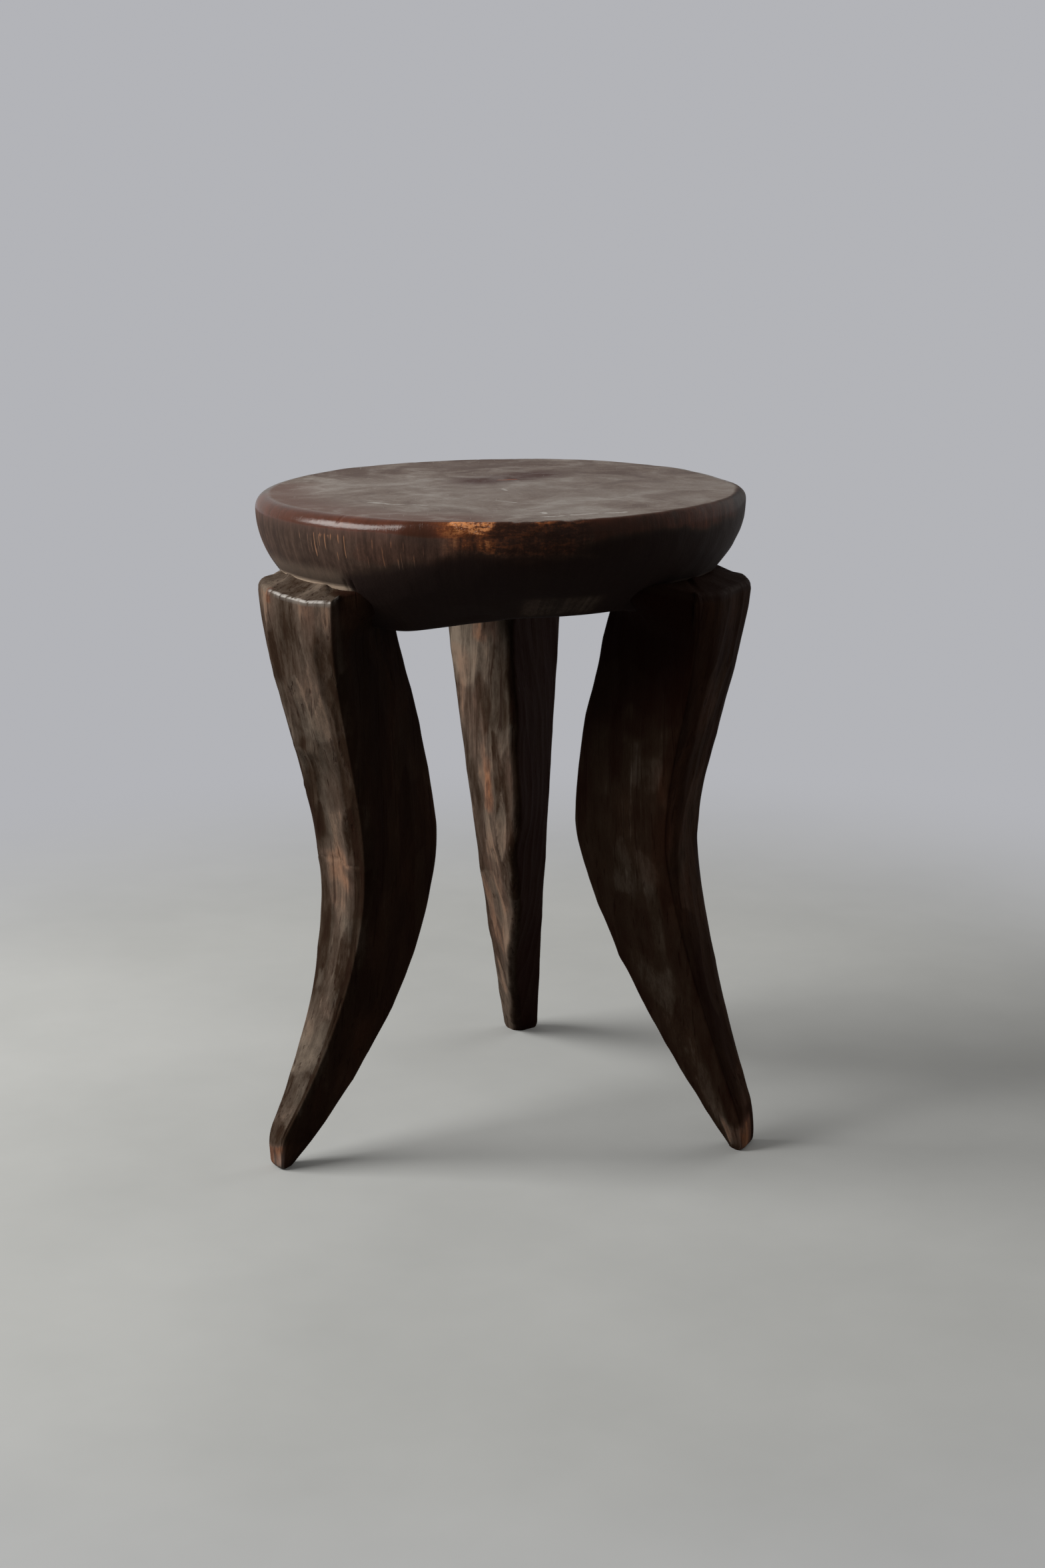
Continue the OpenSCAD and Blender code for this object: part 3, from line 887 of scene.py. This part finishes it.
class Nodes:
    """Short ways to add and join the shader nodes of a material or a world."""

    def __init__(self, owner, place="Object"):
        owner.use_nodes = True
        self.owner = owner
        self.tree = owner.node_tree
        self.place = self.add("ShaderNodeTexCoord").outputs[place]

    def add(self, kind, **settings):
        node = self.tree.nodes.new(kind)
        for key, value in settings.items():
            setattr(node, key, value)
        return node

    def put(self, socket, value):
        if hasattr(value, "is_output"):
            self.tree.links.new(value, socket)
        elif isinstance(value, (tuple, list)) and len(value) == 3 and socket.type == "RGBA":
            socket.default_value = (*value, 1.0)
        else:
            socket.default_value = value

    def math(self, operation, a, b=0.0, clamp=False):
        node = self.add("ShaderNodeMath", operation=operation, use_clamp=clamp)
        self.put(node.inputs[0], a)
        self.put(node.inputs[1], b)
        return node.outputs[0]

    def total(self, first, *rest, clamp=False):
        """The values added in order; clamp keeps the last sum between 0 and 1."""
        for i, value in enumerate(rest, 1):
            first = self.math("ADD", first, value, clamp=clamp and i == len(rest))
        return first

    def product(self, first, *rest):
        for value in rest:
            first = self.math("MULTIPLY", first, value)
        return first

    def weighted(self, *pairs):
        """The sum of values that each have a weight."""
        return self.total(*[self.product(value, weight) for value, weight in pairs])

    def vector(self, operation, *values):
        node = self.add("ShaderNodeVectorMath", operation=operation)
        for socket, value in zip(node.inputs, values):
            self.put(socket, value)
        return node.outputs["Value" if operation in ("DOT_PRODUCT", "LENGTH", "DISTANCE") else "Vector"]

    def blend(self, share, a, b):
        node = self.add("ShaderNodeMix", data_type="RGBA")
        node.clamp_factor = True
        self.put(node.inputs[0], share)
        self.put(node.inputs[6], a)
        self.put(node.inputs[7], b)
        return node.outputs[2]

    def span(self, value, low, high, to_low=0.0, to_high=1.0, way="LINEAR"):
        """Maps low..high to to_low..to_high and stays within them."""
        node = self.add("ShaderNodeMapRange", clamp=True, interpolation_type=way)
        for socket, v in zip(node.inputs, (value, low, high, to_low, to_high)):
            self.put(socket, v)
        return node.outputs[0]

    def swing(self, value, amount, low=0.3, high=0.7):
        return self.span(value, low, high, -amount, amount)

    def round_the_seat(self):
        """Coordinates that follow the seat's side: metres along the rim, 0, height."""
        apart = self.add("ShaderNodeSeparateXYZ")
        self.put(apart.inputs[0], self.vector("SUBTRACT", self.place, CENTRE * MM))
        angle = self.math("ARCTAN2", apart.outputs["X"], apart.outputs["Y"])
        joined = self.add("ShaderNodeCombineXYZ")
        self.put(joined.inputs["X"], self.product(angle, SEAT_R * MM))
        self.put(joined.inputs["Z"], apart.outputs["Z"])
        return joined.outputs[0]

    def stretched(self, scale, turn=(0.0, 0.0, 0.0), place=None):
        node = self.add("ShaderNodeMapping")
        self.put(node.inputs["Vector"], place or self.place)
        node.inputs["Rotation"].default_value = turn
        node.inputs["Scale"].default_value = scale
        return node.outputs[0]

    def grain(self, scale, detail=3.0, rough=0.55, bend=0.0, turn=(0.0, 0.0, 0.0), place=None):
        node = self.add("ShaderNodeTexNoise")
        self.put(node.inputs["Vector"], self.stretched(scale, turn, place))
        node.inputs["Scale"].default_value = 1.0
        node.inputs["Detail"].default_value = detail
        node.inputs["Roughness"].default_value = rough
        node.inputs["Distortion"].default_value = bend
        return node.outputs["Fac"]

    def ramp(self, share, *stops):
        node = self.add("ShaderNodeValToRGB")
        elements = node.color_ramp.elements
        while len(elements) < len(stops):
            elements.new(0.5)
        for element, (at, colour) in zip(elements, stops):
            element.position = at
            element.color = (*colour, 1.0)
        self.put(node.inputs[0], share)
        return node.outputs[0]

    def painted(self, name):
        """The four numbers of a mesh attribute."""
        node = self.add("ShaderNodeAttribute", attribute_name=name)
        split = self.add("ShaderNodeSeparateColor")
        self.put(split.inputs[0], node.outputs["Color"])
        return split.outputs[0], split.outputs[1], split.outputs[2], node.outputs["Alpha"]

    def stroke(self, start, end, width, wobble):
        """1 on a wavering line between two points of the seat's plan, 0 away from it."""
        origin = CENTRE * MM + np.array(start) + (WOBBLE / 2, WOBBLE / 2, 0.0)
        flat = self.vector("MULTIPLY", self.vector("SUBTRACT", self.place, origin), (1.0, 1.0, 0.0))
        waver = self.vector("MULTIPLY_ADD", wobble, (WOBBLE, WOBBLE, 0.0), flat)
        way = np.array(end) - np.array(start)
        along = self.vector("DOT_PRODUCT", waver, way / float(way @ way))
        reach = self.add("ShaderNodeVectorMath", operation="SCALE")
        reach.inputs[0].default_value = way
        self.put(reach.inputs["Scale"], self.total(along, 0.0, clamp=True))
        gap = self.vector("DISTANCE", waver, reach.outputs[0])
        return self.span(gap, width, width * 0.3)

    def finish(self, base, roughness, shine, height, strength, distance):
        """Sets the colour, roughness, shine and bump of the material, and returns it."""
        bump = self.add("ShaderNodeBump")
        bump.inputs["Strength"].default_value = strength
        bump.inputs["Distance"].default_value = distance
        self.put(bump.inputs["Height"], height)
        shader = self.tree.nodes["Principled BSDF"]
        shader.inputs["Specular IOR Level"].default_value = shine
        for name, value in (("Base Color", base), ("Roughness", roughness), ("Normal", bump.outputs[0])):
            self.put(shader.inputs[name], value)
        return self.owner


def leg_material():
    n = Nodes(bpy.data.materials.new("leg_wood"))
    bare_and_lit, warm, dust_and_light, tone = n.painted("wear_and_light")
    ridge, _, _, scratch = n.painted("shape")
    fibre = n.grain((900.0, 900.0, 26.0), 4.0, 0.6)
    streak = n.grain((230.0, 230.0, 9.0), 3.0, 0.55, 0.4)
    blotch = n.grain((38.0, 38.0, 16.0), 3.0, 0.6, 0.6)
    mottle = n.grain((150.0, 150.0, 70.0), 4.0, 0.65, 0.3)
    pores = n.grain((2100.0, 2100.0, 160.0), 2.0, 0.5)
    grit = n.grain((400.0, 400.0, 150.0), 4.0, 0.7, 0.3)
    strokes = n.grain((520.0, 520.0, 22.0), 1.0, 0.5, turn=(0.05, 0.03, 0.0))
    crack = n.span(n.grain((260.0, 260.0, 5.5), 2.0, 0.6, 0.5), 0.615, 0.665)
    sway = n.total(
        n.swing(streak, 0.10), n.swing(blotch, 0.26), n.swing(mottle, 0.09, 0.35, 0.65),
        n.swing(fibre, 0.07), n.swing(tone, 0.22, 0.0, 1.0), n.swing(grit, 0.10),
    )
    scraped = n.product(scratch, n.span(strokes, 0.60, 0.68))
    worn_ridge = n.product(n.math("SUBTRACT", ridge, 0.4), n.product(bare_and_lit, 0.42))
    swayed = n.product(sway, n.total(bare_and_lit, 0.04))
    # The lightness holds the bareness of the wood and painted light and shade.
    level = n.total(bare_and_lit, swayed, n.product(scraped, 0.35), worn_ridge, clamp=True)

    base = n.ramp(level, (0.0, NEAR_BLACK), (0.28, UMBER), (0.6, ASH_BROWN), (1.0, ASH_TAN))
    warm_base = n.ramp(level, (0.0, NEAR_BLACK), (0.3, RUST), (0.65, OXBLOOD), (1.0, COPPER))
    warmth = n.math("MULTIPLY", warm, n.span(blotch, 0.35, 0.75, 0.2, 1.0), clamp=True)
    base = n.blend(warmth, base, warm_base)
    base = n.blend(n.span(pores, 0.60, 0.72, 0.0, 0.45), base, NEAR_BLACK)
    base = n.blend(n.product(crack, 0.50), base, NEAR_BLACK)
    # Pale dusty lines, worn edges and a painted highlight on the heads' rims.
    base = n.blend(dust_and_light, base, PALE_EDGE)
    roughness = n.span(n.total(streak, level), 0.2, 1.4, 0.60, 0.76)
    height = n.weighted(
        (fibre, 0.35), (streak, 0.5), (mottle, 0.6), (pores, -0.25), (grit, 0.7), (crack, -1.0)
    )
    return n.finish(base, roughness, 0.012, height, 0.62, 0.0006)


def top_colour(n, bare_and_lit, warm, cloud, speck, mottle, grit):
    """The top: grey-brown, with faint pale wavy lines, scratches and one darker place.

    Returns its colour and how strong a mark there is."""
    noise_node = n.add("ShaderNodeTexNoise")
    for name, value in (("Scale", 60.0), ("Detail", 7.0), ("Roughness", 0.68), ("Vector", n.place)):
        n.put(noise_node.inputs[name], value)
    wobble = noise_node.outputs["Color"]
    crazed = n.add("ShaderNodeTexVoronoi", feature="DISTANCE_TO_EDGE")
    n.put(crazed.inputs["Vector"], n.vector("ADD", n.stretched((26.0, 38.0, 1.0)), wobble))
    crazed.inputs["Scale"].default_value = 1.0
    lines = n.product(n.span(crazed.outputs["Distance"], 0.13, 0.0), n.span(cloud, 0.42, 0.60))
    along = n.grain((40.0, 1500.0, 1.0), 2.0, 0.5, 0.6, (0.0, 0.0, 0.35))
    across = n.grain((1400.0, 55.0, 1.0), 2.0, 0.5, 0.6, (0.0, 0.0, 0.2))
    hair = n.math("MAXIMUM", n.span(along, 0.66, 0.74), n.span(across, 0.68, 0.76))
    marks = n.math("MAXIMUM", n.product(lines, 0.25), n.product(hair, 0.36))
    broken = n.span(mottle, 0.38, 0.52, 0.15, 1.0)
    for scratch in TOP_SCRATCHES:
        marks = n.math("MAXIMUM", marks, n.product(n.stroke(*scratch, wobble), broken))
    worn_top = n.total(
        cloud, n.math("SUBTRACT", bare_and_lit, 0.45),
        n.swing(speck, 0.06), n.swing(mottle, 0.09, 0.35, 0.65), n.swing(grit, 0.06),
    )
    top = n.ramp(worn_top, (0.22, TOP_DARK), (0.48, TOP_BROWN), (0.80, TOP_GREY))
    top = n.blend(n.product(warm, 0.75), top, TOP_WARM)
    top = n.blend(n.stroke(*DARK_PLACE, wobble), top, TOP_SPOT)
    top = n.blend(n.stroke(*WARM_LINE, wobble), top, DEEP_COPPER)
    return n.blend(marks, top, TOP_MARK), marks


def seat_material():
    n = Nodes(bpy.data.materials.new("seat_wood"))
    bare_and_lit, warm, dust_and_light, rubbed = n.painted("wear_and_light")
    flat, gloss, _, scratch = n.painted("shape")
    side = n.math("SUBTRACT", 1.0, flat)
    rim = n.round_the_seat()
    fibre = n.grain((800.0, 800.0, 40.0), 4.0, 0.6)
    grit = n.grain((380.0, 380.0, 150.0), 4.0, 0.7, 0.3)
    streak = n.grain((230.0, 1.0, 14.0), 3.0, 0.6, 0.3, place=rim)
    cloud = n.grain((22.0, 22.0, 22.0), 4.0, 0.6, 1.2)
    speck = n.grain((420.0, 420.0, 560.0), 4.0, 0.7)
    strokes = n.grain((620.0, 1.0, 46.0), 1.0, 0.4, place=rim)
    mottle = n.grain((75.0, 75.0, 75.0), 5.0, 0.68, 1.6)
    layers = n.grain((70.0, 70.0, 260.0), 3.0, 0.6, 0.9)
    chips = n.grain((800.0, 800.0, 800.0), 3.0, 0.7)

    dull = n.math("SUBTRACT", side, n.product(gloss, 0.75), clamp=True)
    sway = n.total(
        n.swing(cloud, 0.24), n.product(dull, n.swing(streak, 0.34)),
        n.product(dull, n.swing(grit, 0.26)), n.swing(fibre, 0.08),
    )
    likely = n.total(strokes, n.product(scratch, 0.11))
    scraped = n.product(scratch, n.span(likely, 0.705, 0.745))
    bright = n.product(rubbed, n.span(n.total(speck, layers), 0.90, 1.18))
    swayed = n.product(sway, n.total(bare_and_lit, 0.03))
    # The lightness holds the bareness of the wood and painted light and shade.
    level = n.total(bare_and_lit, swayed, n.product(scraped, 0.85), n.product(bright, 0.75), clamp=True)

    base = n.ramp(level, (0.0, NEAR_BLACK), (0.28, UMBER), (0.6, GREY_BROWN), (1.0, TAN))
    warm_base = n.ramp(level, (0.0, NEAR_BLACK), (0.3, RUST), (0.6, OXBLOOD), (1.0, COPPER))
    fresh = n.ramp(level, (0.0, NEAR_BLACK), (0.35, RUST), (0.65, DEEP_COPPER), (1.0, BRIGHT_COPPER))
    warm_base = n.blend(n.span(rubbed, 0.1, 0.45), warm_base, fresh)
    base = n.blend(n.total(warm, n.product(scraped, 0.15), clamp=True), base, warm_base)
    chipped = n.product(n.span(rubbed, 0.45, 0.75), n.span(gloss, 0.15, 0.6))
    base = n.blend(n.product(n.span(chips, 0.58, 0.66), chipped), base, PINK_CHIP)
    top, marks = top_colour(n, bare_and_lit, warm, cloud, speck, mottle, grit)
    base = n.blend(n.product(flat, flat), base, top)
    # The pale dusty neck line, painted brighter where lit.
    base = n.blend(dust_and_light, base, DUST)

    roughness = n.total(
        n.math("SUBTRACT", MATT, n.product(gloss, MATT - POLISHED)),
        n.span(cloud, 0.25, 0.75, -0.04, 0.05),
        n.product(flat, n.span(mottle, 0.35, 0.65, -0.05, 0.08)),
        n.product(marks, flat, 0.25),
    )
    pitted = n.total(rubbed, n.product(side, gloss, 0.30))
    height = n.weighted(
        (fibre, 0.3), (n.product(streak, side), 0.7), (n.product(grit, dull), 1.1),
        (marks, -0.5), (n.product(speck, pitted), 1.5),
    )
    return n.finish(base, roughness, 0.29, height, 0.34, 0.0005)


# Stage, lights, camera
BACKGROUND = (0.45, 0.455, 0.48)
PALE_SIDE = (-0.17, 0.985, 0.0)   # the way to the paler side of the surroundings
PALE_FILL = (0.39, 0.385, 0.38)
DIM_FILL = (0.145, 0.142, 0.138)
FLOOR_BOUNCE = (0.18, 0.18, 0.18)
FADE_FROM, FADE_TO = 0.42, 1.05   # metres from the middle
FLOOR_DARK, FLOOR_PALE = (0.50, 0.51, 0.50), (0.58, 0.59, 0.58)
FLOOR_HALF = 12.0
AIM = np.array([0.0, 0.0, 0.22])   # what the lights look at
SENSOR = 36.0                      # millimetres along the picture's height
FOCAL_PIXELS, PICTURE_PIXELS = 3700.0, 2352.0
CAMERA_AT = (0.009587, -1.62254, 0.623)
CAMERA_TILT = 76.4                 # degrees up from straight down


def floor_material():
    """Pale matt floor near the object; further out the camera sees the background on it."""
    n = Nodes(bpy.data.materials.new("floor_pale"))
    shader = n.tree.nodes["Principled BSDF"]
    rays = n.add("ShaderNodeLightPath").outputs
    base = n.ramp(n.grain((3.0, 3.0, 3.0), 5.0, 0.6), (0.3, FLOOR_DARK), (0.7, FLOOR_PALE))
    n.put(shader.inputs["Base Color"], n.blend(rays["Is Camera Ray"], FLOOR_BOUNCE, base))
    shader.inputs["Roughness"].default_value = 0.9
    shader.inputs["Specular IOR Level"].default_value = 0.1
    fade = n.span(n.vector("LENGTH", n.place), FADE_FROM, FADE_TO, way="SMOOTHSTEP")
    behind = n.span(n.vector("DOT_PRODUCT", n.place, PALE_SIDE), 0.0, 0.5)
    seen = n.math("MAXIMUM", rays["Is Camera Ray"], n.product(rays["Is Glossy Ray"], behind))
    glow = n.add("ShaderNodeEmission")
    glow.inputs["Color"].default_value = (*BACKGROUND, 1.0)
    both = n.add("ShaderNodeMixShader")
    for socket, value in zip(both.inputs, (n.product(seen, fade), shader.outputs[0], glow.outputs[0])):
        n.put(socket, value)
    n.put(n.tree.nodes["Material Output"].inputs["Surface"], both.outputs[0])
    return n.owner


def build_floor():
    mesh = bpy.data.meshes.new("floor")
    corners = [(x * FLOOR_HALF, y * FLOOR_HALF, 0) for x, y in ((-1, -1), (1, -1), (1, 1), (-1, 1))]
    mesh.from_pydata(corners, [], [(0, 1, 2, 3)])
    mesh.materials.append(floor_material())
    floor = bpy.data.objects.new("floor", mesh)
    bpy.context.scene.collection.objects.link(floor)


def area_light(name, azimuth, elevation, distance, size, power, colour):
    """A soft rectangular light that looks at the middle of the object."""
    a, e = math.radians(azimuth), math.radians(elevation)
    way = np.array([math.cos(e) * math.cos(a), math.cos(e) * math.sin(a), math.sin(e)])
    data = bpy.data.lights.new(name, "AREA")
    data.shape = "RECTANGLE"
    data.size, data.size_y = size
    data.energy = power
    data.color = colour
    light = bpy.data.objects.new(name, data)
    light.location = AIM + way * distance
    light.rotation_euler = (math.pi / 2 - e, 0.0, a + math.pi / 2)
    light.visible_camera = False
    bpy.context.scene.collection.objects.link(light)


def build_world():
    """Pale to the camera, a soft dim fill on the object, paler on one side."""
    world = bpy.data.worlds.new("studio")
    bpy.context.scene.world = world
    n = Nodes(world, "Generated")
    share = n.span(n.vector("DOT_PRODUCT", n.place, PALE_SIDE), 0.15, 0.85, way="SMOOTHSTEP")
    fill = n.blend(share, DIM_FILL, PALE_FILL)
    seen = n.add("ShaderNodeLightPath").outputs["Is Camera Ray"]
    background = n.tree.nodes["Background"]
    background.inputs["Strength"].default_value = 1.0
    n.put(background.inputs["Color"], n.blend(seen, fill, BACKGROUND))


def build_camera():
    data = bpy.data.cameras.new("camera")
    data.sensor_width = SENSOR
    data.lens = FOCAL_PIXELS / PICTURE_PIXELS * SENSOR
    data.clip_start = 0.05
    camera = bpy.data.objects.new("camera", data)
    camera.location = CAMERA_AT
    camera.rotation_euler = (math.radians(CAMERA_TILT), 0.0, 0.0)
    bpy.context.scene.collection.objects.link(camera)
    bpy.context.scene.camera = camera


# The scene
build_camera()
build_world()
build_floor()
area_light("key_light", 190.0, 34.0, 2.2, (1.5, 1.0), 49.0, (1.0, 0.985, 0.96))
area_light("far_fill", 32.0, 22.0, 2.2, (1.8, 1.4), 10.0, (1.0, 0.97, 0.94))

leg_wood = leg_material()
seat_wood = seat_material()
for leg in LEGS:
    piece = build_leg(leg)
    piece.data.materials.append(leg_wood)
    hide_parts(leg.name)
    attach(piece, "root")

seat_piece = build_seat()
seat_piece.data.materials.append(seat_wood)
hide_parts("seat")
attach(seat_piece, "root")

bpy.context.scene.view_settings.view_transform = "Standard"
